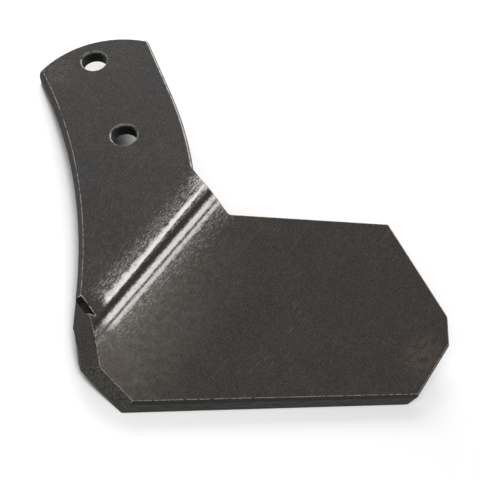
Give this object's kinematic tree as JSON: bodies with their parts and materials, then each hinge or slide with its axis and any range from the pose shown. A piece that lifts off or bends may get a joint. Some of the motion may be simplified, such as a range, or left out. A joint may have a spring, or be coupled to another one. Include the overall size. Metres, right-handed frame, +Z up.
{
  "type": "cultivator sweep",
  "caption": "One hand of a bolt-on cultivator sweep: a bent steel plate with a curved shank, a broad wing and a ground cutting edge.",
  "frame": {"origin": "on the ground, below the middle of the blade's bounding box as it lies hollow side down", "axes": "+X along the straight cutting edge towards the wing's outer end, +Y from the cutting edge towards the shank's end, +Z up"},
  "size_m": [0.2096, 0.2046, 0.0475],
  "materials": {
    "blade_steel": "dark mill scale with bright rubbed bands along the bend"
  },
  "bodies": {
    "root": {"sweep_blade": "blade_steel"}
  },
  "joints": []
}
